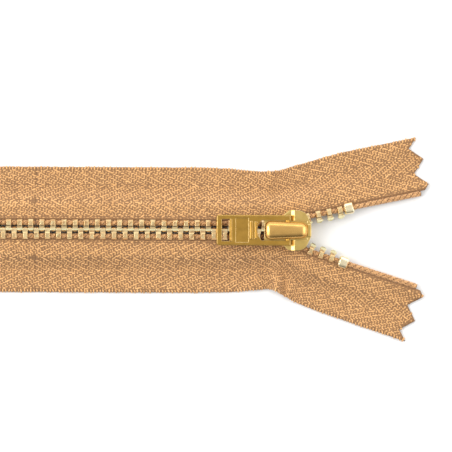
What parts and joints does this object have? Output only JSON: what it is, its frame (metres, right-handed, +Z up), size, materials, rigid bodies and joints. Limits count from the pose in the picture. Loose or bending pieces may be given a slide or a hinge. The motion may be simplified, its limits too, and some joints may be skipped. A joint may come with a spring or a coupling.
{
  "type": "zipper",
  "caption": "Closed-end metal zip on woven tape, partly open, with a locking slider, a flat pull tab, top stops and a bottom stop.",
  "frame": {"origin": "on the chain line, at the middle of the slider's underside, with the slider where the zip is stored, a little short of the top stops", "axes": "+X along the closed chain towards the open top end, +Y to the left tape, +Z up from the table, with the pull side up"},
  "size_m": [0.1546, 0.0429, 0.0063],
  "materials": {
    "tape": "matte",
    "bead_cord": "matte",
    "teeth_brass": "polished",
    "stop_brass": "polished",
    "slider_brass": "gloss",
    "cap_brass": "gloss",
    "spring_steel": "satin"
  },
  "bodies": {
    "bottom": {"bottom_stop": "stop_brass", "left_bottom_cord": "bead_cord", "left_bottom_tape": "tape", "right_bottom_cord": "bead_cord", "right_bottom_tape": "tape"},
    "left_row": {"left_cord": "bead_cord", "left_tape": "tape", "left_teeth_01_10": "teeth_brass", "left_teeth_11_20": "teeth_brass", "left_teeth_21_30": "teeth_brass", "left_teeth_31_40": "teeth_brass", "left_teeth_41_45": "teeth_brass"},
    "right_row": {"right_cord": "bead_cord", "right_tape": "tape", "right_teeth_01_10": "teeth_brass", "right_teeth_11_20": "teeth_brass", "right_teeth_21_30": "teeth_brass", "right_teeth_31_40": "teeth_brass", "right_teeth_41_45": "teeth_brass"},
    "left_arm": {"left_arm_cord": "bead_cord", "left_arm_tape": "tape", "left_arm_tooth_46": "teeth_brass", "left_arm_tooth_47": "teeth_brass", "left_arm_tooth_48": "teeth_brass", "left_arm_tooth_49": "teeth_brass", "left_arm_tooth_50": "teeth_brass", "left_arm_tooth_51": "teeth_brass", "top_stop_left": "stop_brass"},
    "right_arm": {"right_arm_cord": "bead_cord", "right_arm_tape": "tape", "right_arm_tooth_46": "teeth_brass", "right_arm_tooth_47": "teeth_brass", "right_arm_tooth_48": "teeth_brass", "right_arm_tooth_49": "teeth_brass", "right_arm_tooth_50": "teeth_brass", "top_stop_right": "stop_brass"},
    "slider": {"leaf_spring": "spring_steel", "slider_body": "slider_brass", "slider_cap": "cap_brass"},
    "pull": {"pull_tab": "slider_brass"},
    "pawl": {"lock_pawl": "spring_steel"}
  },
  "joints": [
    {"name": "slider_travel", "type": "slide", "parent": "bottom", "child": "slider", "axis": [1, 0, 0], "range_m": [-0.1008, 0], "deforming": ["left_cord", "left_tape", "left_teeth_01_10", "left_teeth_11_20", "left_teeth_21_30", "left_teeth_31_40", "left_teeth_41_45", "right_cord", "right_tape", "right_teeth_01_10", "right_teeth_11_20", "right_teeth_21_30", "right_teeth_31_40", "right_teeth_41_45"]},
    {"name": "left_row_swing", "type": "hinge", "parent": "bottom", "child": "left_row", "pos_m": [-0.1059, 0.0014, 0.0019], "axis": [0, 0, 1], "range_deg": [0, 11.85]},
    {"name": "right_row_swing", "type": "hinge", "parent": "bottom", "child": "right_row", "pos_m": [-0.1059, -0.0014, 0.0019], "axis": [0, 0, 1], "range_deg": [-17.9, 0]},
    {"name": "left_arm_swing", "type": "hinge", "parent": "left_row", "child": "left_arm", "pos_m": [-0.001, 0.0014, 0.0019], "axis": [0, 0, 1], "range_deg": [-11.85, 0]},
    {"name": "right_arm_swing", "type": "hinge", "parent": "right_row", "child": "right_arm", "pos_m": [-0.0009, -0.0014, 0.0019], "axis": [0, 0, 1], "range_deg": [0, 17.9]},
    {"name": "pull_swing", "type": "hinge", "parent": "slider", "child": "pull", "pos_m": [-0.0001, 0, 0.0045], "axis": [0, 1, 0], "range_deg": [0, 170]},
    {"name": "pawl_lift", "type": "hinge", "parent": "slider", "child": "pawl", "pos_m": [0.0031, 0, 0.0043], "axis": [0, 1, 0], "range_deg": [0, 3.5], "deforming": ["leaf_spring"]}
  ],
  "couplings": [
    {"joint": "left_row_swing", "follows": "slider_travel", "rad_per_m": -2.05},
    {"joint": "right_row_swing", "follows": "slider_travel", "rad_per_m": 3.095},
    {"joint": "left_arm_swing", "follows": "slider_travel", "rad_per_m": 2.05},
    {"joint": "right_arm_swing", "follows": "slider_travel", "rad_per_m": -3.095},
    {"joint": "pawl_lift", "follows": "pull_swing", "ratio": 0.0205}
  ]
}
